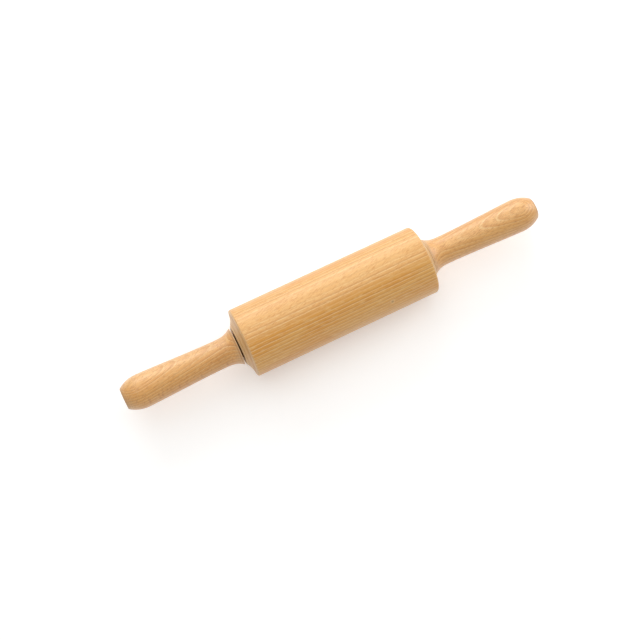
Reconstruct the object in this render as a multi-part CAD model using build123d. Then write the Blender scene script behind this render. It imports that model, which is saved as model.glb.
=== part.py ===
from build123d import *
import os

# A rolling pin of turned beech, whose barrel revolves on a steel rod between two handles.
# Lengths are in millimetres. The pin lies along X, its barrel rests on Z = 0, and the
# origin is below the middle of the barrel. Pieces are drawn about the X axis and lifted to
# the height of the barrel's radius when they are written. The pieces of the right end (+X)
# are drawn, and the left end has the same pieces turned end for end.

# Barrel
barrel_diameter = 60.0
barrel_length = 168.0  # from rim to rim
rim_rounding = 1.6
cove_depth = 4.2  # how far the turned cove reaches out past the rim
lip_diameter = 33.8  # where the cove ends and the handle begins
lip_rounding = 0.3
cove_rim_share = 0.15  # of the cove's drop, straight down from the rim
cove_lip_shares = (0.36, 0.70)  # of the cove's depth and drop, from where it leans to the lip

# Handles
handle_gap = 0.9  # between the barrel's lip and each handle, halfway through the play
barrel_drift = 0.5  # how far the barrel has run to the right in its play
handle_length = 101.9
flange_step = 0.3  # how far the handle's flange stands back from the lip, on the radius
flange_rounding = 0.2
flare_length = 15.9
flare_shares = (1 / 3, 2 / 3)  # of the flare's length, so that it falls as a cube
neck_diameter = 24.5
neck_side_share = 0.276  # of the swell's length, drawn level away from the neck
bulb_side_share = 0.135  # of the swell's length, drawn level up to the bulb
bulb_diameter = 29.0
bulb_from_end = 16.2
end_face_diameter = 18.2  # before its corner is rounded
end_face_rounding = 1.6

# Steel rod, pressed and glued into both handles
rod_diameter = 8.0
rod_reach = 45.0  # into each handle
rod_chamfer = 0.8
glue_room = 1.5  # left in front of the rod's end
drill_point_share = 0.6  # of the bore's radius, as the depth of the drill's point
groove_count = 5
groove_margin = 6.0  # plain rod on each side of the glue grooves
groove_width = 1.6
groove_depth = 0.35

# Nylon bush, pressed into each end of the barrel
running_clearance = 0.08  # between the rod and the bush, on the radius
sleeve_length = 22.0
sleeve_wall = 2.5
sleeve_chamfer = 0.6
sleeve_end_room = 1.0  # between the sleeve's inner end and the bottom of its seat
rib_count = 6
rib_height = 0.42
rib_width = 1.4
rib_lead = 3.0  # plain length at the sleeve's inner end
flange_width = 4.0
flange_thickness = 2.0
flange_clearance = 0.15
rod_room = 1.0  # between the rod and the barrel's drilled bore, on the radius

# Steel washer between each handle and bush
washer_thickness = 1.6
washer_width = 3.8
washer_clearance = 0.2  # around the rod, on the radius
washer_gap = 0.6  # between washer and bush, halfway through the play

overrun = 5.0  # how far a cut runs past the face that it opens

# Radii and stations along X that several pieces share
barrel_radius = barrel_diameter / 2
rim_x = barrel_length / 2
lip_x = rim_x + cove_depth
lip_radius = lip_diameter / 2
handle_x = lip_x + handle_gap
handle_end_x = handle_x + handle_length
rod_end_x = handle_x + rod_reach
rod_radius = rod_diameter / 2
sleeve_radius = rod_radius + running_clearance + sleeve_wall
seat_radius = sleeve_radius + rib_height
flange_radius = sleeve_radius + flange_width
washer_x = handle_x - washer_thickness
flange_x = washer_x - washer_gap
sleeve_x = flange_x - flange_thickness
sleeve_end_x = sleeve_x - sleeve_length


def turned(outline, corners):
    """The solid that an outline in X and radius, closed along the axis, makes when turned.

    Each corner is a station, a radius and the rounding that the outline gets there first.
    """
    face = make_face(Curve() + outline)
    for x, radius, rounding in corners:
        face = fillet(face.vertices().sort_by_distance((x, radius, 0))[0], rounding)
    return revolve(face, Axis.X)


def round_bar(x_from, x_to, radius):
    """A plain round bar on the axis, between two stations."""
    middle = (x_from + x_to) / 2
    return Pos(middle, 0, 0) * Rot(0, 90, 0) * Cylinder(radius, x_to - x_from)


def ring_edge(piece, x, radius):
    """The round edge of a turned piece at a station and radius, found away from its seam."""
    return piece.edges().sort_by_distance((x, -radius, 0))[0]


def other_end(piece):
    """The same piece turned end for end, at the left of the pin."""
    return Rot(0, 0, 180) * piece


def make_barrel():
    """Turned barrel: rounded rims, a cove at each end, and the bores for rod and bushes."""
    rim_foot = barrel_radius - rim_rounding
    drop = rim_foot - lip_radius
    rim = TangentArc((rim_x - rim_rounding, barrel_radius), (rim_x, rim_foot), tangent=(1, 0))
    cove = Bezier(
        (rim_x, rim_foot),
        (rim_x, rim_foot - cove_rim_share * drop),
        (rim_x + cove_lip_shares[0] * cove_depth, rim_foot - cove_lip_shares[1] * drop),
        (lip_x, lip_radius),
    )
    right = [rim, cove, Line((lip_x, lip_radius), (lip_x, 0))]
    left = [mirror(curve, Plane.YZ) for curve in right]
    level = Line((-rim_x + rim_rounding, barrel_radius), (rim_x - rim_rounding, barrel_radius))
    axis = Line((-lip_x, 0), (lip_x, 0))
    lips = [(x, lip_radius, lip_rounding) for x in (-lip_x, lip_x)]
    barrel = turned([level, axis, *right, *left], lips)
    barrel -= round_bar(-lip_x - overrun, lip_x + overrun, rod_radius + rod_room)
    seat = round_bar(sleeve_end_x - sleeve_end_room, lip_x + overrun, seat_radius)
    seat += round_bar(sleeve_x, lip_x + overrun, flange_radius + flange_clearance)
    return barrel - seat - other_end(seat)


def make_handle():
    """Turned handle: flange and flare, neck, long swell to the bulb, shoulder and end face."""
    flange = lip_radius - flange_step
    neck = neck_diameter / 2
    bulb = bulb_diameter / 2
    neck_x = handle_x + flare_length
    bulb_x = handle_end_x - bulb_from_end
    swell_length = bulb_x - neck_x
    flare = Bezier(
        (handle_x, flange),
        (handle_x + flare_shares[0] * flare_length, neck),
        (handle_x + flare_shares[1] * flare_length, neck),
        (neck_x, neck),
    )
    swell = Bezier(
        (neck_x, neck),
        (neck_x + neck_side_share * swell_length, neck),
        (bulb_x - bulb_side_share * swell_length, bulb),
        (bulb_x, bulb),
    )
    end_face = end_face_diameter / 2
    shoulder = TangentArc((bulb_x, bulb), (handle_end_x, end_face), tangent=(1, 0))
    face_lines = Polyline((handle_end_x, end_face), (handle_end_x, 0), (handle_x, 0), (handle_x, flange))
    corners = [(handle_x, flange, flange_rounding), (handle_end_x, end_face, end_face_rounding)]
    handle = turned([flare, swell, shoulder, face_lines], corners)
    bore_end_x = rod_end_x + glue_room
    point_depth = drill_point_share * rod_radius
    bore = round_bar(handle_x - overrun, bore_end_x, rod_radius)
    point = Cone(rod_radius, 0, point_depth)
    return handle - bore - Pos(bore_end_x + point_depth / 2, 0, 0) * Rot(0, 90, 0) * point


def make_rod():
    """Drawn steel rod with chamfered ends and ring grooves that hold the glue."""
    rod = round_bar(-rod_end_x, rod_end_x, rod_radius)
    ends = [ring_edge(rod, rod_end_x, rod_radius), ring_edge(rod, -rod_end_x, rod_radius)]
    rod = chamfer(ends, rod_chamfer)
    first_x = handle_x + groove_margin
    pitch = (rod_reach - 2 * groove_margin - groove_width) / (groove_count - 1)
    for index in range(groove_count):
        x = first_x + index * pitch
        groove = round_bar(x, x + groove_width, rod_radius + overrun)
        groove -= round_bar(x, x + groove_width, rod_radius - groove_depth)
        rod -= groove
        rod -= other_end(groove)
    return rod


def make_bush():
    """Moulded top-hat bush: flange, sleeve and crush ribs that grip the seat."""
    sleeve = round_bar(sleeve_end_x, sleeve_x, sleeve_radius)
    sleeve = chamfer(ring_edge(sleeve, sleeve_end_x, sleeve_radius), sleeve_chamfer)
    rib_from_x = sleeve_end_x + rib_lead
    rib_length = sleeve_x - rib_from_x
    rib = Pos(rib_from_x + rib_length / 2, 0, seat_radius / 2) * Box(rib_length, rib_width, seat_radius)
    rib &= round_bar(rib_from_x, sleeve_x, seat_radius)
    bush = sleeve + round_bar(sleeve_x, flange_x, flange_radius)
    for index in range(rib_count):
        bush += Rot(index * 360 / rib_count, 0, 0) * rib
    return bush - round_bar(sleeve_end_x - overrun, flange_x + overrun, rod_radius + running_clearance)


def make_washer():
    """Flat steel washer that takes the barrel's end thrust."""
    bore_radius = rod_radius + washer_clearance
    washer = round_bar(washer_x, handle_x, bore_radius + washer_width)
    return washer - round_bar(washer_x - overrun, handle_x + overrun, bore_radius)


def write(pieces, x):
    """One STEP file for each piece, moved along the pin and lifted to the axis."""
    for name, piece in pieces.items():
        export_step(Pos(x, 0, barrel_radius) * piece, f"parts/{name}.step")


right_handle = make_handle()
right_washer = make_washer()
right_bush = make_bush()
held_pieces = {
    "axle_rod": make_rod(),
    "right_handle": right_handle,
    "left_handle": other_end(right_handle),
    "right_thrust_washer": right_washer,
    "left_thrust_washer": other_end(right_washer),
}
turning_pieces = {
    "barrel": make_barrel(),
    "right_bush": right_bush,
    "left_bush": other_end(right_bush),
}

os.makedirs("parts", exist_ok=True)
write(held_pieces, 0)
write(turning_pieces, barrel_drift)
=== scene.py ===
"""Looks of a revolving rolling pin: a beech barrel on a steel rod between two beech handles.

Lengths are in metres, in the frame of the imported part: the pin lies along X, Z is up and the
barrel rests on Z = 0. Sizes of grain, pores and tool marks are in millimetres, and their names
say so.
"""

import logging
import math
from dataclasses import dataclass
from enum import Enum
from functools import partial
from typing import Any

import bmesh
import bpy
from mathutils import Euler, Matrix, Vector
from mathutils.geometry import interpolate_bezier


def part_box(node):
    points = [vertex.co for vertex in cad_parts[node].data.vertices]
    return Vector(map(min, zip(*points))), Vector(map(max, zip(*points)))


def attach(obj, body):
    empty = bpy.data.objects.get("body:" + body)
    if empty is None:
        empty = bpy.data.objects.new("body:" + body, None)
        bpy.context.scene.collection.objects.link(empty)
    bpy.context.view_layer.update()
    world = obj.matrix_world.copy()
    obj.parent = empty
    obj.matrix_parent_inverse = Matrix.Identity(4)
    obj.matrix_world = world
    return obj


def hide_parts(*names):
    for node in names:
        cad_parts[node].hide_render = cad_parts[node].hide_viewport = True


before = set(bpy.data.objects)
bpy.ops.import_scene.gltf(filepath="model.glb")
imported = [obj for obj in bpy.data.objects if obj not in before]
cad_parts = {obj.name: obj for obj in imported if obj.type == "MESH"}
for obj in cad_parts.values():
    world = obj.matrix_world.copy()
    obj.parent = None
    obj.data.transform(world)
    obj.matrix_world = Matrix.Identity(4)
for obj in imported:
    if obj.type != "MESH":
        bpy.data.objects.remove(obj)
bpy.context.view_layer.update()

log = logging.getLogger("rolling_pin")

MM = 0.001
PHOTO_SIZE_PX = 640

Outline = list[tuple[float, float]]
Socket = bpy.types.NodeSocket


class Side(Enum):
    """The two ends of the pin, with the sign of X there."""

    LEFT = -1
    RIGHT = 1

    @property
    def word(self) -> str:
        """The word that the end's nodes start with."""
        return self.name.lower()


class Slot(Enum):
    """The record's material slots of the pieces that are made here."""

    BARREL = "barrel_beech"
    HANDLE = "handle_beech"


class Body(Enum):
    """The two bodies of the pin, joined by the barrel's spin."""

    HANDLES = "handles"
    ROLLER = "roller"


class Node(Enum):
    """The shader nodes that the finishes are made of."""

    PLACE = "ShaderNodeTexCoord"
    MAPPING = "ShaderNodeMapping"
    SPLIT = "ShaderNodeSeparateXYZ"
    JOIN = "ShaderNodeCombineXYZ"
    VECTOR = "ShaderNodeVectorMath"
    MATH = "ShaderNodeMath"
    SPREAD = "ShaderNodeMapRange"
    NOISE = "ShaderNodeTexNoise"
    CHANCE = "ShaderNodeTexWhiteNoise"
    MIX = "ShaderNodeMix"
    BUMP = "ShaderNodeBump"
    SHADER = "ShaderNodeBsdfPrincipled"
    OUTPUT = "ShaderNodeOutputMaterial"
    RAY_KIND = "ShaderNodeLightPath"
    ROOM = "ShaderNodeBackground"
    ROOM_OUTPUT = "ShaderNodeOutputWorld"


def linear(hex_colour: str) -> tuple[float, float, float, float]:
    """Turns an sRGB colour into the linear values that a shader takes.

    Args:
        hex_colour: The colour as "#RRGGBB".

    Returns:
        Red, green, blue and an alpha of 1.
    """
    channels = [int(hex_colour[i : i + 2], 16) / 255 for i in (1, 3, 5)]
    red, green, blue = (c / 12.92 if c <= 0.04045 else ((c + 0.055) / 1.055) ** 2.4 for c in channels)
    return red, green, blue, 1.0


def add_node(
    tree: bpy.types.NodeTree,
    kind: Node,
    inputs: dict[Any, Any] | tuple[Any, ...] = (),
    out: int | str = 0,
    **settings: Any,
) -> Socket | None:
    """Adds a node, sets its properties, and fills or links its inputs.

    Args:
        tree: The node tree that the node goes into.
        kind: Which node it is.
        inputs: Sockets to link from, or values to hold, in order or by the input's name or number.
        out: The name or number of the wanted output.
        settings: The node's own properties.

    Returns:
        The wanted output, or nothing where the node has none.
    """
    node = tree.nodes.new(kind.value)
    for name, value in settings.items():
        setattr(node, name, value)
    for key, value in (inputs if isinstance(inputs, dict) else dict(enumerate(inputs))).items():
        if isinstance(value, Socket):
            tree.links.new(value, node.inputs[key])
        else:
            node.inputs[key].default_value = value
    return node.outputs[out] if len(node.outputs) else None


def new_material(name: str) -> tuple[bpy.types.Material, bpy.types.NodeTree]:
    """Makes an empty node material.

    Args:
        name: The finish's name.

    Returns:
        The material and its node tree.
    """
    material = bpy.data.materials.new(name)
    material.use_nodes = True
    material.node_tree.nodes.clear()
    return material, material.node_tree


# Outlines and turned meshes


def arc_points(centre: Vector, start: Vector, sweep: float, steps: int) -> Outline:
    """Points along an arc, its start left out and its end kept.

    Args:
        centre: The arc's centre, in station and radius.
        start: The arc's first point.
        sweep: The angle that it turns through, anticlockwise, in radians.
        steps: How many points it gets.

    Returns:
        The points.
    """
    spoke = start - centre
    turned = [centre + Matrix.Rotation(sweep * i / steps, 2) @ spoke for i in range(1, steps + 1)]
    return [(p.x, p.y) for p in turned]


def bezier_points(knots: list[tuple[float, float]], steps: int) -> Outline:
    """Points along a cubic curve, its start left out and its end kept.

    Args:
        knots: The start, the two handles and the end, each as station and radius.
        steps: How many points it gets.

    Returns:
        The points.
    """
    start, handle_a, handle_b, end = (Vector((x, r, 0)) for x, r in knots)
    return [(p.x, p.y) for p in interpolate_bezier(start, handle_a, handle_b, end, steps + 1)[1:]]


def round_corner(outline: Outline, corner: tuple[float, float], rounding: float, steps: int = 4) -> Outline:
    """Rounds one corner of an outline.

    Args:
        outline: The outline's points in order.
        corner: The corner, which is one of the points.
        rounding: The radius of the rounding.
        steps: How many straight pieces the rounding gets.

    Returns:
        The outline with an arc in place of the corner.
    """
    at = min(range(len(outline)), key=lambda i: math.dist(outline[i], corner))
    tip = Vector(outline[at])
    back = (Vector(outline[at - 1]) - tip).normalized()
    ahead = (Vector(outline[at + 1]) - tip).normalized()
    half_angle = back.angle(ahead) / 2
    reach = rounding / math.tan(half_angle)
    centre = tip + (back + ahead).normalized() * rounding / math.sin(half_angle)
    start, end = tip + back * reach, tip + ahead * reach
    sweep = (start - centre).angle_signed(end - centre)
    arc = [(start.x, start.y), *arc_points(centre, start, -sweep, steps)]
    before = [p for p in outline[:at] if math.dist(p, tip) > reach]
    after = [p for p in outline[at + 1 :] if math.dist(p, tip) > reach]
    return before + arc + after


def mesh_object(name: str, shape: bmesh.types.BMesh, sharp_degrees: float = 32.0) -> bpy.types.Object:
    """Turns a bmesh into a smooth-shaded object that stands at the origin.

    Args:
        name: The object's name.
        shape: The bmesh, which is freed.
        sharp_degrees: Edges that turn by more than this stay crisp.

    Returns:
        The object, linked into the scene.
    """
    bmesh.ops.remove_doubles(shape, verts=shape.verts, dist=1e-3 * MM)
    bmesh.ops.recalc_face_normals(shape, faces=shape.faces)
    mesh = bpy.data.meshes.new(name)
    shape.to_mesh(mesh)
    shape.free()
    mesh.shade_smooth()
    mesh.set_sharp_from_angle(angle=math.radians(sharp_degrees))
    made = bpy.data.objects.new(name, mesh)
    bpy.context.scene.collection.objects.link(made)
    return made


def turned_mesh(
    name: str, outline: Outline, axis_height: float, around: int, closed: bool
) -> bpy.types.Object:
    """Turns an outline about the pin's axis, as a lathe does.

    Args:
        name: The object's name.
        outline: Points in station and radius.
        axis_height: The height of the axis above the floor.
        around: How many steps the turn has.
        closed: Whether the outline is a loop, as it is round a through bore.

    Returns:
        The turned object.
    """
    shape = bmesh.new()
    verts = [shape.verts.new((x, 0, axis_height + radius)) for x, radius in outline]
    pairs = list(zip(verts, verts[1:]))
    if closed:
        pairs.append((verts[-1], verts[0]))
    edges = [shape.edges.new(pair) for pair in pairs]
    bmesh.ops.spin(
        shape,
        geom=verts + edges,
        cent=(0, 0, axis_height),
        axis=(1, 0, 0),
        dvec=(0, 0, 0),
        angle=math.tau,
        steps=around,
        use_merge=True,
        use_normal_flip=False,
        use_duplicate=False,
    )
    return mesh_object(name, shape)


# Finishes


@dataclass(frozen=True)
class Mark:
    """One kind of mark in a surface: noise whose blotches have a real size, cut at a level.

    The sizes are a blotch's length along X, Y and Z in millimetres. ``fades`` gives the noise
    level where the mark starts to show and the level where it is full.
    """

    size_mm: tuple[float, float, float]
    fades: tuple[float, float]
    share: float = 1.0
    detail: float = 2.0

    def noise(self, tree: bpy.types.NodeTree, point: Socket) -> Socket:
        """Adds the noise alone.

        Args:
            tree: The material's node tree.
            point: A vector in millimetres.

        Returns:
            The noise, from 0 to 1.
        """
        scale = tuple(1 / size for size in self.size_mm)
        scaled = add_node(tree, Node.VECTOR, (point, scale), operation="MULTIPLY")
        noise = {"Vector": scaled, "Scale": 1.0, "Detail": self.detail, "Roughness": 0.55}
        return add_node(tree, Node.NOISE, noise)

    def cut(self, tree: bpy.types.NodeTree, point: Socket) -> Socket:
        """Adds the mark.

        Args:
            tree: The material's node tree.
            point: A vector in millimetres.

        Returns:
            How strongly the mark shows, from 0 to its share.
        """
        levels = (self.noise(tree, point), *self.fades, 0.0, self.share)
        return add_node(tree, Node.SPREAD, levels, interpolation_type="SMOOTHSTEP")


@dataclass(frozen=True)
class Trunk:
    """How a piece lay in its tree, whose rings run about a heart beside the piece.

    ``bark_degrees`` is the way to the bark, from straight up towards the far side of the pin.
    ``rise_degrees`` and ``swing_degrees`` are how far the trunk climbs and swings to the far
    side towards the pin's right. Ring number is rate times depth below the bark to a power, so
    that the rings are narrow near the bark and wide further in.
    """

    heart_mm: float
    bark_degrees: float
    rise_degrees: float = 0.0
    swing_degrees: float = 0.0
    ring_rate: float = 1.6
    ring_power: float = 0.646

    @property
    def turn(self) -> Matrix:
        """The turn from the pin's directions to the trunk's: X up the trunk, Z to the bark."""
        lean = Euler((0, math.radians(self.rise_degrees), -math.radians(self.swing_degrees)))
        return Matrix.Rotation(math.radians(self.bark_degrees), 3, "X") @ lean.to_matrix()


@dataclass(frozen=True)
class EdgeBand:
    """A band all the way round a turned edge. Some bands are marks left by the tool, the sandpaper or wear;
    others are painted highlights and painted shade along the edge.
    """

    station_mm: float
    half_width_mm: float
    colour: str
    share: float
    fray_mm: float = 0.12


@dataclass(frozen=True)
class PinKnot:
    """The foot of a twig that never grew, a dark speck in a ring of paler wood."""

    at: Vector
    core_mm: float = 1.5
    halo_mm: float = 3.0
    core_share: float = 0.5
    halo_share: float = 0.3


@dataclass(frozen=True)
class TurnedBeech:
    """Steamed European beech, turned on a lathe, sanded and given a thin satin oil.

    To the eye it is a warm golden tan. Growth rings show as thin pale lines with a darker band
    beside them. Where the cut runs along the rings, small dashes of ray show instead, and end
    grain is greyer and duller. The oil leaves a soft broad sheen.

    All patterns are solid: they are worked out in millimetres about the tree's heart, so they
    meet at every edge. Fibre and pores are drawn about three times as coarse as they are, so
    that they show at all.

    Where a field is a pair for the rings, it gives the levels where a mark starts and is full,
    as shares of a ring's width. ``flat_cut`` and ``end_cut`` are cosines: of the angle between
    the surface and the way to the bark, and between the surface and the trunk. The rooms give
    how strongly flecks and lines show away from a flat cut and on it.
    """

    name: str
    centre: Vector
    half_width_mm: float
    trunk: Trunk
    bands: tuple[EdgeBand, ...] = ()
    bands_from_mm: float = 0.0
    knots: tuple[PinKnot, ...] = ()
    body: str = "#E39D39"
    cream: str = "#E8AC53"
    # paler tone of a cut along the rings; on the barrel it lies along the top and is partly painted light
    flat_cream: str = "#F0BB73"
    pale_line: str = "#F8D698"
    dark_line: str = "#C9812B"
    ray: str = "#D68932"
    end_grain: str = "#CC9555"
    end_ring: str = "#9C6A34"
    scraped: str = "#EECA92"
    wander: Mark = Mark((70.0, 9.0, 9.0), (0.3, 0.7))
    wander_mm: float = 0.35
    clouds: Mark = Mark((60.0, 16.0, 16.0), (0.40, 0.62))
    flecks: Mark = Mark((4.6, 0.8, 30.0), (0.54, 0.66))
    dashes: Mark = Mark((3.0, 0.6, 25.0), (0.60, 0.72), share=0.35, detail=1.0)
    streaks: Mark = Mark((90.0, 2.6, 2.6), (0.50, 0.70), share=0.20)
    dark_fibre: Mark = Mark((9.0, 0.8, 0.8), (0.52, 0.70), share=0.36, detail=3.0)
    pale_fibre: Mark = Mark((7.0, 0.8, 0.8), (0.52, 0.66), share=0.34, detail=3.0)
    pores: Mark = Mark((3.0, 0.45, 0.45), (0.62, 0.74), detail=1.0)
    tool_rings: Mark = Mark((0.7, 400.0, 400.0), (0.35, 0.65), detail=1.0)
    fleck_slant_degrees: float = 24.0
    line_levels: tuple[float, float] = (0.14, 0.03)
    dusk_levels: tuple[float, float] = (0.35, 0.86)
    dawn_levels: tuple[float, float] = (1.0, 0.93)
    pale_years: tuple[float, float] = (0.45, 1.0)
    dark_years: tuple[float, float] = (0.20, 0.80)
    flat_cut: tuple[float, float] = (0.86, 0.985)
    end_cut: tuple[float, float] = (0.32, 0.85)
    fleck_rooms: tuple[float, float] = (0.06, 0.58)
    line_rooms: tuple[float, float] = (0.80, 0.70)
    flat_share: float = 0.75
    end_share: float = 0.75
    gloss: float = 0.37
    coat: float = 0.60

    def wood_point(self, tree: bpy.types.NodeTree) -> Socket:
        """Gives the point being shaded in millimetres about the tree's heart.

        Args:
            tree: The material's node tree.

        Returns:
            A vector socket: X runs up the tree, and Y and Z are square to its heart.
        """
        turn = self.trunk.turn
        shift = turn @ (self.centre / -MM) + Vector((0, 0, self.trunk.heart_mm))
        point = add_node(tree, Node.PLACE, out="Object")
        mapping = {"Vector": point, "Location": shift, "Rotation": turn.to_euler(), "Scale": (1 / MM,) * 3}
        return add_node(tree, Node.MAPPING, mapping)

    def rings(self, tree: bpy.types.NodeTree, point: Socket, from_heart: Socket) -> tuple[Socket, Socket]:
        """Adds the growth rings, which wander a little along the tree.

        Args:
            tree: The material's node tree.
            point: The point in the wood.
            from_heart: Its distance from the heart in millimetres.

        Returns:
            The thin pale line at each ring's edge, and the darker band inside it.
        """
        add = partial(add_node, tree)
        drift = (self.wander.noise(tree, point), 2 * self.wander_mm, from_heart)
        wandered = add(Node.MATH, drift, operation="MULTIPLY_ADD")
        bark = self.trunk.heart_mm + self.half_width_mm + self.wander_mm
        depth = add(Node.MATH, (bark, wandered), operation="SUBTRACT")
        depth = add(Node.MATH, (depth, 0.02), operation="MAXIMUM")
        ring = add(Node.MATH, (depth, self.trunk.ring_power), operation="POWER")
        ring = add(Node.MATH, (ring, self.trunk.ring_rate), operation="MULTIPLY")
        year = add(Node.CHANCE, {"W": add(Node.MATH, (ring,), operation="ROUND")}, noise_dimensions="1D")
        from_edge = add(Node.MATH, (ring, 0.5), operation="PINGPONG")
        line = add(Node.SPREAD, (from_edge, *self.line_levels), interpolation_type="SMOOTHSTEP")
        strength = add(Node.SPREAD, (year, 0.0, 1.0, *self.pale_years))
        pale = add(Node.MATH, (line, strength), operation="MULTIPLY")
        phase = add(Node.MATH, (ring,), operation="FRACT")
        dusk = add(Node.SPREAD, (phase, *self.dusk_levels), interpolation_type="SMOOTHSTEP")
        dawn = add(Node.SPREAD, (phase, *self.dawn_levels), interpolation_type="SMOOTHSTEP")
        late = add(Node.MATH, (dusk, dawn), operation="MULTIPLY")
        strength = add(Node.SPREAD, (year, 0.0, 1.0, *self.dark_years))
        late = add(Node.MATH, (late, strength), operation="MULTIPLY")
        return pale, late

    def cut_of(self, tree: bpy.types.NodeTree, outward: Socket) -> tuple[Socket, Socket]:
        """Finds how the surface cuts through the wood.

        Args:
            tree: The material's node tree.
            outward: The way from the heart to the bark at this point.

        Returns:
            How nearly the cut runs along the rings, and how nearly it crosses the trunk.
        """
        add = partial(add_node, tree)
        facing_way = {"Vector": add(Node.PLACE, out="Normal"), "Rotation": self.trunk.turn.to_euler()}
        turned = add(Node.MAPPING, facing_way, vector_type="VECTOR")
        facing = add(Node.VECTOR, (turned, outward), "Value", operation="DOT_PRODUCT")
        facing = add(Node.MATH, (facing,), operation="ABSOLUTE")
        flat_sawn = add(Node.SPREAD, (facing, *self.flat_cut), interpolation_type="SMOOTHSTEP")
        up_the_tree = add(Node.MATH, (add(Node.SPLIT, (turned,)),), operation="ABSOLUTE")
        endwise = add(Node.SPREAD, (up_the_tree, *self.end_cut), interpolation_type="SMOOTHSTEP")
        return flat_sawn, endwise

    def band_shares(self, tree: bpy.types.NodeTree, point: Socket) -> list[tuple[Socket, str]]:
        """Adds the edge bands: real marks, painted highlights and painted shade.

        Args:
            tree: The material's node tree.
            point: The point in the wood.

        Returns:
            For each band, how strongly it shows and its colour.
        """
        add = partial(add_node, tree)
        along = add(Node.SPLIT, (add(Node.PLACE, out="Object"),))
        station = add(Node.MATH, (along, 1 / MM, -self.bands_from_mm), operation="MULTIPLY_ADD")
        station = add(Node.MATH, (station,), operation="ABSOLUTE")
        ragged = Mark((1.6, 1.6, 1.6), (0.0, 1.0), detail=2.0).noise(tree, point)
        shares = []
        for band in self.bands:
            frayed = add(Node.MATH, (ragged, 4 * band.fray_mm, station), operation="MULTIPLY_ADD")
            middle = band.station_mm + 2 * band.fray_mm
            off = add(Node.MATH, (frayed, middle), operation="SUBTRACT")
            off = add(Node.MATH, (off,), operation="ABSOLUTE")
            levels = (off, band.half_width_mm, 0.5 * band.half_width_mm, 0.0, band.share)
            shares.append((add(Node.SPREAD, levels, interpolation_type="SMOOTHSTEP"), band.colour))
        return shares

    def knot_shares(self, tree: bpy.types.NodeTree) -> list[tuple[Socket, str]]:
        """Adds the pin knots.

        Args:
            tree: The material's node tree.

        Returns:
            For each knot's halo and core, how strongly it shows and its colour.
        """
        add = partial(add_node, tree)
        shares = []
        for knot in self.knots:
            off = add(Node.VECTOR, (add(Node.PLACE, out="Object"), knot.at), "Value", operation="DISTANCE")
            off = add(Node.MATH, (off, 1 / MM), operation="MULTIPLY")
            for reach, share, tint in (
                (knot.halo_mm, knot.halo_share, self.pale_line),
                (knot.core_mm, knot.core_share, self.end_ring),
            ):
                levels = (off, reach, 0.5 * reach, 0.0, share)
                shares.append((add(Node.SPREAD, levels, interpolation_type="SMOOTHSTEP"), tint))
        return shares

    def material(self) -> bpy.types.Material:
        """Builds the wood.

        Returns:
            The material.
        """
        material, tree = new_material(self.name)
        add = partial(add_node, tree)
        point = self.wood_point(tree)
        parts = add(Node.SPLIT, (point,)).node.outputs
        across = add(Node.VECTOR, (point, (0, 1, 1)), operation="MULTIPLY")
        from_heart = add(Node.VECTOR, (across,), "Value", operation="LENGTH")
        outward = add(Node.VECTOR, (across,), operation="NORMALIZE")
        pale, late = self.rings(tree, point, from_heart)
        flat_sawn, endwise = self.cut_of(tree, outward)

        # rays are thin sheets from heart to bark, which a cut along the rings shows as dashes
        angle = add(Node.MATH, (parts[1], parts[2]), operation="ARCTAN2")
        around = add(Node.MATH, (angle, self.trunk.heart_mm + self.half_width_mm), operation="MULTIPLY")
        sheet = add(Node.JOIN, (parts[0], around, from_heart))
        slant = {"Vector": sheet, "Rotation": (0, 0, -math.radians(self.fleck_slant_degrees))}
        fleck_room = add(Node.SPREAD, (flat_sawn, 0.0, 1.0, *self.fleck_rooms))
        flecks = self.flecks.cut(tree, add(Node.MAPPING, slant))
        flecks = add(Node.MATH, (flecks, fleck_room), operation="MULTIPLY")
        line_room = add(Node.SPREAD, (flat_sawn, 0.0, 1.0, *self.line_rooms))
        lines = add(Node.MATH, (pale, line_room), operation="MULTIPLY")
        shadows = add(Node.MATH, (late, line_room), operation="MULTIPLY")
        flat_tone = add(Node.MATH, (flat_sawn, self.flat_share), operation="MULTIPLY")
        end_tone = add(Node.MATH, (endwise, self.end_share), operation="MULTIPLY")
        end_bands = add(Node.MATH, (end_tone, late), operation="MULTIPLY")
        place = add(Node.MAPPING, {"Vector": add(Node.PLACE, out="Object"), "Scale": (1 / MM,) * 3})
        turned_rings = self.tool_rings.cut(tree, place)
        scraped = add(Node.MATH, (end_tone, turned_rings), operation="MULTIPLY")

        colour = linear(self.body)
        layers = [
            (self.clouds.cut(tree, point), self.cream),
            (flat_tone, self.flat_cream),
            (shadows, self.dark_line),
            (lines, self.pale_line),
            (flecks, self.ray),
            (self.dashes.cut(tree, sheet), self.ray),
            (self.streaks.cut(tree, point), self.dark_line),
            (end_tone, self.end_grain),
            (end_bands, self.end_ring),
            (scraped, self.scraped),
            (self.dark_fibre.cut(tree, point), self.dark_line),
            (self.pale_fibre.cut(tree, point), self.pale_line),
            *self.knot_shares(tree),
            *self.band_shares(tree, point),
        ]
        for share, tint in layers:
            colour = add(Node.MIX, {0: share, 6: colour, 7: linear(tint)}, 2, data_type="RGBA")

        fibre = self.dark_fibre.noise(tree, point)
        rough = add(Node.MATH, (fibre, 0.16, self.gloss - 0.02), operation="MULTIPLY_ADD")
        rough = add(Node.MATH, (endwise, 0.12, rough), operation="MULTIPLY_ADD")
        relief = add(Node.MATH, (self.pores.cut(tree, point), -0.6, fibre), operation="MULTIPLY_ADD")
        relief = add(Node.MATH, (turned_rings, 0.12, relief), operation="MULTIPLY_ADD")
        bump = add(Node.BUMP, {"Height": relief, "Strength": 0.3, "Distance": 0.08 * MM})
        surface = {
            "Base Color": colour,
            "Roughness": rough,
            "Normal": bump,
            "IOR": 1.5,
            "Coat Weight": self.coat,
            "Coat Roughness": 0.35,
        }
        add(Node.OUTPUT, {"Surface": add(Node.SHADER, surface)})
        return material


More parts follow.
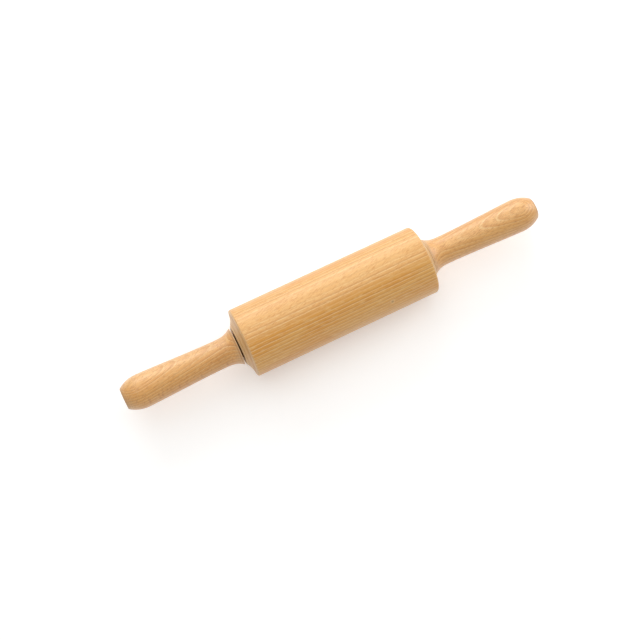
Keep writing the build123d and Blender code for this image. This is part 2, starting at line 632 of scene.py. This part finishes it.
@dataclass(frozen=True)
class DrawnSteel:
    """Carbon steel bar, cold drawn through a die and wiped with oil.

    To the eye it is a bright grey with fine straight lines along the bar and darker cloudy
    patches of oil. The lines are drawn about five times as coarse as they are.
    """

    name: str = "cold_drawn_steel"
    bright: str = "#BFC1C2"
    oiled: str = "#8D8B87"
    draw_lines: Mark = Mark((50.0, 0.3, 0.3), (0.40, 0.65))
    oil: Mark = Mark((9.0, 5.0, 5.0), (0.45, 0.70), share=0.6)

    def material(self) -> bpy.types.Material:
        """Builds the steel of the rod.

        Returns:
            The material.
        """
        material, tree = new_material(self.name)
        add = partial(add_node, tree)
        point = add(Node.MAPPING, {"Vector": add(Node.PLACE, out="Object"), "Scale": (1 / MM,) * 3})
        lines = self.draw_lines.cut(tree, point)
        oil = self.oil.cut(tree, point)
        colour = add(Node.MIX, {0: oil, 6: linear(self.bright), 7: linear(self.oiled)}, 2, data_type="RGBA")
        rough = add(Node.MATH, (lines, 0.14, 0.24), operation="MULTIPLY_ADD")
        bump = add(Node.BUMP, {"Height": lines, "Strength": 0.3, "Distance": 0.02 * MM})
        surface = {"Base Color": colour, "Metallic": 1.0, "Roughness": rough, "Normal": bump}
        add(Node.OUTPUT, {"Surface": add(Node.SHADER, surface)})
        return material


@dataclass(frozen=True)
class GapShadeSteel:
    """Mild steel washer, stamped from sheet and oiled.

    Its dull brown black is painted shade: it stands in for the shade in the narrow gap between
    barrel and handle, where the washer shows. It is scuffed grey in rings where nylon rubs on
    it. The scuffs are drawn about five times as coarse as they are.
    """

    name: str = "gap_shade_washer_steel"
    # painted shade of the gap between barrel and handle, not the steel's own colour
    dull: str = "#5E442E"
    rubbed: str = "#8A745C"
    scuffs: Mark = Mark((30.0, 0.35, 0.35), (0.50, 0.70), share=0.6)
    grit: Mark = Mark((0.4, 0.4, 0.4), (0.40, 0.65))

    def material(self, axis_height: float) -> bpy.types.Material:
        """Builds the steel of the washers.

        Args:
            axis_height: The height of the pin's axis.

        Returns:
            The material.
        """
        material, tree = new_material(self.name)
        add = partial(add_node, tree)
        mapping = {
            "Vector": add(Node.PLACE, out="Object"),
            "Location": (0, 0, -axis_height / MM),
            "Scale": (1 / MM,) * 3,
        }
        point = add(Node.MAPPING, mapping)
        across = add(Node.VECTOR, (point, (0, 1, 1)), operation="MULTIPLY")
        radius = add(Node.VECTOR, (across,), "Value", operation="LENGTH")
        ringwise = add(Node.JOIN, (add(Node.SPLIT, (point,)), radius, 0.0))
        scuffs = self.scuffs.cut(tree, ringwise)
        grit = self.grit.cut(tree, point)
        colour = add(Node.MIX, {0: scuffs, 6: linear(self.dull), 7: linear(self.rubbed)}, 2, data_type="RGBA")
        rough = add(Node.MATH, (grit, 0.15, 0.45), operation="MULTIPLY_ADD")
        bump = add(Node.BUMP, {"Height": grit, "Strength": 0.4, "Distance": 0.02 * MM})
        surface = {"Base Color": colour, "Metallic": 1.0, "Roughness": rough, "Normal": bump}
        add(Node.OUTPUT, {"Surface": add(Node.SHADER, surface)})
        return material


@dataclass(frozen=True)
class MouldedNylon:
    """Natural nylon, injection moulded in a spark-eroded tool.

    To the eye it is a milky off-white that lets a little light in, evenly matt, with faint
    yellower clouds where the plastic flowed. The tool's grain is drawn about four times as
    coarse as it is.
    """

    name: str = "moulded_natural_nylon"
    milk: str = "#EAE6DA"
    flow: str = "#DDD6C2"
    clouds: Mark = Mark((8.0, 5.0, 5.0), (0.40, 0.70), share=0.7)
    grain: Mark = Mark((0.25, 0.25, 0.25), (0.35, 0.65))

    def material(self) -> bpy.types.Material:
        """Builds the plastic of the bushes.

        Returns:
            The material.
        """
        material, tree = new_material(self.name)
        add = partial(add_node, tree)
        point = add(Node.MAPPING, {"Vector": add(Node.PLACE, out="Object"), "Scale": (1 / MM,) * 3})
        clouds = self.clouds.cut(tree, point)
        grain = self.grain.cut(tree, point)
        colour = add(Node.MIX, {0: clouds, 6: linear(self.milk), 7: linear(self.flow)}, 2, data_type="RGBA")
        rough = add(Node.MATH, (grain, 0.12, 0.38), operation="MULTIPLY_ADD")
        bump = add(Node.BUMP, {"Height": grain, "Strength": 0.3, "Distance": 0.03 * MM})
        surface = {
            "Base Color": colour,
            "Roughness": rough,
            "Normal": bump,
            "IOR": 1.53,
            "Subsurface Weight": 0.2,
            "Subsurface Radius": (1.0, 0.8, 0.5),
            "Subsurface Scale": 1.5 * MM,
        }
        add(Node.OUTPUT, {"Surface": add(Node.SHADER, surface)})
        return material


# The pin's pieces


@dataclass
class Barrel:
    """The turned barrel: rounded rims, a cove in each end, and the bores for rod and bushes."""

    centre_x: float
    axis_height: float
    rim_half_length: float = 84.0 * MM
    rim_rounding: float = 1.6 * MM
    cove_depth: float = 4.2 * MM
    lip_radius: float = 16.9 * MM
    lip_rounding: float = 0.3 * MM
    cove_rim_share: float = 0.15
    cove_lip_shares: tuple[float, float] = (0.36, 0.70)
    bore_radius: float = 5.0 * MM
    seat_radius: float = 7.0 * MM
    pocket_radius: float = 10.73 * MM
    pocket_depth: float = 3.3 * MM
    seat_depth: float = 26.3 * MM
    knot_x: float = 41.6 * MM
    knot_degrees: float = 60.0
    around: int = 256

    def outline(self) -> Outline:
        """The barrel's section: its right half, then the same points mirrored.

        Returns:
            A closed loop of stations and radii about the barrel's middle.
        """
        radius, foot = self.axis_height, self.axis_height - self.rim_rounding
        rim_x, lip_x = self.rim_half_length, self.rim_half_length + self.cove_depth
        drop = foot - self.lip_radius
        level_end = rim_x - self.rim_rounding
        level = [(level_end * i / 30, radius) for i in range(31)]
        rim = arc_points(Vector((level_end, foot)), Vector((level_end, radius)), -math.pi / 2, 8)
        shares = self.cove_lip_shares
        cove = bezier_points(
            [
                (rim_x, foot),
                (rim_x, foot - self.cove_rim_share * drop),
                (rim_x + shares[0] * self.cove_depth, foot - shares[1] * drop),
                (lip_x, self.lip_radius),
            ],
            28,
        )
        inner = [
            (lip_x, self.pocket_radius),
            (lip_x - self.pocket_depth, self.pocket_radius),
            (lip_x - self.pocket_depth, self.seat_radius),
            (lip_x - self.seat_depth, self.seat_radius),
            (lip_x - self.seat_depth, self.bore_radius),
        ]
        right = round_corner(level + rim + cove + inner, (lip_x, self.lip_radius), self.lip_rounding)
        left = [(-x, r) for x, r in reversed(right) if x > 0]
        return [(x + self.centre_x, r) for x, r in right + left]

    def knot_place(self) -> Vector:
        """Finds the spot on the barrel's skin where the pin knot shows, low at the near side.

        Returns:
            The spot.
        """
        spoke = Matrix.Rotation(math.radians(self.knot_degrees), 3, "X") @ Vector((0, 0, self.axis_height))
        return Vector((self.knot_x, 0, self.axis_height)) + spoke

    def wood(self) -> TurnedBeech:
        """Chooses the barrel's wood: cut from beside the bark, which faces nearly up, so that the
        paler flat-sawn face runs along the top, partly as the wood's own tone and partly as
        painted light on the lit top.

        Returns:
            The finish.
        """
        rim, lip = self.rim_half_length / MM, (self.rim_half_length + self.cove_depth) / MM
        return TurnedBeech(
            name="turned_beech_barrel",
            centre=Vector((self.centre_x, 0, self.axis_height)),
            half_width_mm=self.axis_height / MM,
            # the bark nearly up puts the paler flat-sawn face along the barrel's top: partly the wood's own
            # tone, partly painted light
            trunk=Trunk(heart_mm=110.0, bark_degrees=13.4),
            bands_from_mm=self.centre_x / MM,
            knots=(PinKnot(at=self.knot_place()),),
            bands=(
                # painted highlight: a whitish sheen along the rounding of each rim
                EdgeBand(rim - 0.75, half_width_mm=0.9, colour="#F6DAAE", share=0.15, fray_mm=0.04),
                # painted shade: a dark line in the corner where each rim meets its cove
                EdgeBand(rim + 0.5, half_width_mm=0.4, colour="#B87A35", share=0.35, fray_mm=0.04),
                EdgeBand(lip - 0.1, half_width_mm=0.35, colour="#E9C694", share=0.5),
            ),
        )

    def build(self) -> bpy.types.Object:
        """Turns the barrel, puts it on its body and dresses it.

        Returns:
            The barrel.
        """
        barrel = turned_mesh("barrel_turned", self.outline(), self.axis_height, self.around, closed=True)
        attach(barrel, Body.ROLLER.value)
        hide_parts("barrel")
        barrel.data.materials.append(self.wood().material())
        return barrel


@dataclass
class Handle:
    """A turned handle: flange, flare, neck, long swell to the bulb, shoulder and end face."""

    side: Side
    trunk: Trunk
    face_x: float
    end_x: float
    axis_height: float
    body: str
    cream: str
    flange_radius: float = 16.6 * MM
    flange_rounding: float = 0.2 * MM
    flare_length: float = 15.9 * MM
    neck_radius: float = 12.25 * MM
    neck_side_share: float = 0.276
    bulb_side_share: float = 0.135
    bulb_radius: float = 14.5 * MM
    bulb_from_end: float = 16.2 * MM
    end_face_radius: float = 9.1 * MM
    end_face_rounding: float = 1.6 * MM
    bore_radius: float = 4.0 * MM
    bore_depth: float = 46.5 * MM
    bore_point: float = 2.4 * MM
    around: int = 192

    def outline(self) -> Outline:
        """The right handle's section, from the bore's point round to the end face.

        Returns:
            Stations and radii, starting and ending on the axis.
        """
        neck_x = self.face_x + self.flare_length
        bulb_x = self.end_x - self.bulb_from_end
        swell = bulb_x - neck_x
        flange, neck, bulb = self.flange_radius, self.neck_radius, self.bulb_radius
        third = self.flare_length / 3
        bore = [
            (self.face_x + self.bore_depth + self.bore_point, 0.0),
            (self.face_x + self.bore_depth, self.bore_radius),
            (self.face_x, self.bore_radius),
            (self.face_x, flange),
        ]
        flare = bezier_points(
            [
                (self.face_x, flange),
                (self.face_x + third, neck),
                (self.face_x + 2 * third, neck),
                (neck_x, neck),
            ],
            26,
        )
        grip = bezier_points(
            [
                (neck_x, neck),
                (neck_x + self.neck_side_share * swell, neck),
                (bulb_x - self.bulb_side_share * swell, bulb),
                (bulb_x, bulb),
            ],
            44,
        )
        drop = bulb - self.end_face_radius
        shoulder_radius = (self.bulb_from_end**2 + drop**2) / (2 * drop)
        sweep = math.asin(self.bulb_from_end / shoulder_radius)
        centre = Vector((bulb_x, bulb - shoulder_radius))
        shoulder = arc_points(centre, Vector((bulb_x, bulb)), -sweep, 22)
        points = bore + flare + grip + shoulder + [(self.end_x, 0.0)]
        points = round_corner(points, (self.face_x, flange), self.flange_rounding)
        return round_corner(points, (self.end_x, self.end_face_radius), self.end_face_rounding, 8)

    def wood(self) -> TurnedBeech:
        """Chooses the handle's wood.

        Returns:
            The finish, which hands have polished more than the barrel's. The flange's edge is
            rubbed pale. Beside it, on the flare in the groove between barrel and handle, a band of
            painted shade is laid, and a darker band runs round the end face's corner.
        """
        face, end = self.face_x / MM, self.end_x / MM
        return TurnedBeech(
            name=f"turned_beech_{self.side.word}_handle",
            centre=Vector((self.side.value * (self.face_x + self.end_x) / 2, 0, self.axis_height)),
            half_width_mm=16.0,
            trunk=self.trunk,
            body=self.body,
            cream=self.cream,
            pale_line="#F0C988",
            ray="#BE7429",
            coat=1.0,
            dashes=Mark((3.2, 0.55, 25.0), (0.55, 0.68), share=0.55, detail=1.0),
            bands=(
                EdgeBand(face + 0.15, half_width_mm=0.4, colour="#EFD2A4", share=0.6),
                # painted shade in the groove between barrel and handle, beside the flange
                EdgeBand(face + 1.3, half_width_mm=0.8, colour="#A9713A", share=0.35),
                EdgeBand(end - 0.9, half_width_mm=0.8, colour="#A9713A", share=0.45),
            ),
        )

    def build(self) -> bpy.types.Object:
        """Turns the handle, puts it on its body and dresses it.

        Returns:
            The handle.
        """
        node = f"{self.side.word}_handle"
        points = [(x * self.side.value, r) for x, r in self.outline()]
        handle = turned_mesh(f"{node}_turned", points, self.axis_height, self.around, closed=False)
        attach(handle, Body.HANDLES.value)
        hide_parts(node)
        handle.data.materials.append(self.wood().material())
        return handle


@dataclass
class Bearing:
    """The rod, bushes and washers inside the pin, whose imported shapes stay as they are."""

    axis_height: float

    def dress(self) -> list[bpy.types.Object]:
        """Gives each piece its finish.

        Returns:
            The pieces.
        """
        washer, bush = GapShadeSteel().material(self.axis_height), MouldedNylon().material()
        finishes = {"axle_rod": DrawnSteel().material()}
        for side in Side:
            finishes[f"{side.word}_thrust_washer"] = washer
            finishes[f"{side.word}_bush"] = bush
        pieces = []
        for node, finish in finishes.items():
            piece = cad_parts[node]
            for holder in piece.material_slots:
                holder.material = finish
            pieces.append(piece)
        return pieces


# Floor, lamps and camera


@dataclass(frozen=True)
class Softbox:
    """A soft rectangular lamp: where it hangs, seen from the pin, how far, how large, how strong."""

    name: str
    direction: Vector
    distance: float
    size: tuple[float, float]
    watts: float

    def hang(self, centre: Vector) -> None:
        """Hangs the lamp so that it faces the pin.

        Args:
            centre: The middle of the pin.
        """
        data = bpy.data.lights.new(self.name, "AREA")
        data.shape = "RECTANGLE"
        data.size, data.size_y = self.size
        data.energy = self.watts
        lamp = bpy.data.objects.new(self.name, data)
        lamp.matrix_world = (
            Matrix.Translation(centre + self.direction.normalized() * self.distance)
            @ self.direction.to_track_quat("Z", "Y").to_matrix().to_4x4()
        )
        bpy.context.scene.collection.objects.link(lamp)


@dataclass
class Studio:
    """A plain pale floor under three softboxes, and a camera above the pin."""

    barrel_centre: Vector
    tilt_degrees: float = 7.5
    roll_degrees: float = 25.1
    distance: float = 1.09
    focal_px: float = 1302.0
    sensor_mm: float = 36.0
    barrel_px: tuple[float, float] = (333.85, 301.15)
    floor_size: float = 8.0
    floor_colour: str = "#F2F2F1"
    floor_glow: float = 0.32
    room_light: float = 0.44
    softboxes: tuple[Softbox, ...] = (
        Softbox("back_softbox", Vector((0.15, 0.90, 0.46)), 1.3, (1.4, 0.62), 7.0),
        Softbox("right_softbox", Vector((0.90, 0.1, 0.43)), 2.4, (1.6, 1.6), 18.0),
        Softbox("overhead_softbox", Vector((-0.1, 0.35, 1.0)), 1.6, (2.0, 2.0), 9.5),
    )

    def camera(self) -> bpy.types.Object:
        """Places the camera as the photograph has it, level, looking down at the pin.

        Returns:
            The camera.
        """
        tilt, roll = math.radians(self.tilt_degrees), math.radians(self.roll_degrees)
        # with the camera level, the pin's slope in the picture and its lean away give both angles
        azimuth_sine = math.hypot(math.cos(tilt) * math.sin(roll), math.sin(tilt))
        elevation = math.atan2(math.cos(tilt) * math.sin(roll), math.sin(tilt))
        azimuth = math.asin(azimuth_sine)
        flat = Vector((-math.sin(azimuth), -math.cos(azimuth), 0))
        toward = flat * math.cos(elevation) + Vector((0, 0, math.sin(elevation)))
        right = Vector((0, 0, 1)).cross(toward).normalized()
        up = toward.cross(right)
        metres_per_px = self.distance / self.focal_px
        middle = PHOTO_SIZE_PX / 2
        shift = right * (self.barrel_px[0] - middle) + up * (middle - self.barrel_px[1])
        data = bpy.data.cameras.new("photo_camera")
        data.sensor_width = self.sensor_mm
        data.lens = self.focal_px * self.sensor_mm / PHOTO_SIZE_PX
        data.clip_end = 50.0
        camera = bpy.data.objects.new("photo_camera", data)
        turn = Matrix((right, up, toward)).transposed().to_4x4()
        camera.matrix_world = (
            Matrix.Translation(self.barrel_centre + toward * self.distance - shift * metres_per_px) @ turn
        )
        bpy.context.scene.collection.objects.link(camera)
        bpy.context.scene.camera = camera
        return camera

    def seen(self, tree: bpy.types.NodeTree) -> Socket:
        """Adds the test for light that shows the room itself or its reflection.

        Args:
            tree: The node tree of the floor or the world.

        Returns:
            1 for camera, mirror and glass rays, and 0 for the light that falls on the pin.
        """
        rays = add_node(tree, Node.RAY_KIND).node.outputs
        seen = add_node(tree, Node.MATH, (rays["Is Camera Ray"], rays["Is Glossy Ray"]), operation="MAXIMUM")
        return add_node(tree, Node.MATH, (seen, rays["Is Transmission Ray"]), operation="MAXIMUM")

    def floor(self) -> bpy.types.Object:
        """Lays the floor, a matt white paper that shows white where no shadow falls.

        Returns:
            The floor.
        """
        shape = bmesh.new()
        bmesh.ops.create_grid(shape, x_segments=1, y_segments=1, size=self.floor_size / 2)
        floor = mesh_object("floor", shape)
        material, tree = new_material("matt_white_paper")
        glow = add_node(tree, Node.MATH, (self.seen(tree), self.floor_glow), operation="MULTIPLY")
        paper = {
            "Base Color": linear(self.floor_colour),
            "Roughness": 0.9,
            "Specular IOR Level": 0.1,
            "Emission Color": (1, 1, 1, 1),
            "Emission Strength": glow,
        }
        add_node(tree, Node.OUTPUT, {"Surface": add_node(tree, Node.SHADER, paper)})
        floor.data.materials.append(material)
        return floor

    def lamps(self) -> None:
        """Hangs the softboxes and sets the room's plain light."""
        for softbox in self.softboxes:
            softbox.hang(self.barrel_centre)
        world = bpy.data.worlds.new("pale_room")
        world.use_nodes = True
        tree = world.node_tree
        tree.nodes.clear()
        strength = add_node(tree, Node.SPREAD, (self.seen(tree), 0.0, 1.0, self.room_light, 1.0))
        room = add_node(tree, Node.ROOM, {"Color": (1, 1, 1, 1), "Strength": strength})
        add_node(tree, Node.ROOM_OUTPUT, {"Surface": room})
        bpy.context.scene.world = world


def report(piece: bpy.types.Object) -> None:
    """Logs a piece's name, faces and size.

    Args:
        piece: The piece.
    """
    size = [round(side / MM, 1) for side in piece.dimensions]
    log.info("%s: %d faces, %s mm", piece.name, len(piece.data.polygons), size)


def main() -> None:
    """Builds the pin's pieces, dresses them, and sets up the studio."""
    logging.basicConfig(level=logging.INFO, format="%(name)s: %(message)s")
    bpy.context.scene.view_settings.view_transform = "Standard"
    low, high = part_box("barrel")
    axis_height = (high.z - low.z) / 2
    barrel = Barrel(centre_x=(low.x + high.x) / 2, axis_height=axis_height)
    pieces = [barrel.build()]
    # the left handle's rings sweep up to the right, and the right one's open in a long arch
    left_trunk = Trunk(heart_mm=70.0, bark_degrees=35.0, swing_degrees=9.0, ring_rate=1.5)
    right_trunk = Trunk(heart_mm=70.0, bark_degrees=3.0, rise_degrees=-2.6, ring_rate=1.5)
    tones = {Side.LEFT: ("#E09C44", "#E5A652"), Side.RIGHT: ("#DF9C46", "#E5A957")}
    for side, trunk in ((Side.LEFT, left_trunk), (Side.RIGHT, right_trunk)):
        low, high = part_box(f"{side.word}_handle")
        face_x, end_x = sorted((abs(low.x), abs(high.x)))
        body, cream = tones[side]
        handle = Handle(side, trunk, face_x, end_x, axis_height, body, cream)
        pieces.append(handle.build())
    pieces += Bearing(axis_height).dress()
    for piece in pieces:
        report(piece)
    studio = Studio(barrel_centre=Vector((barrel.centre_x, 0, axis_height)))
    studio.floor()
    studio.lamps()
    studio.camera()


if __name__ == "__main__":
    main()
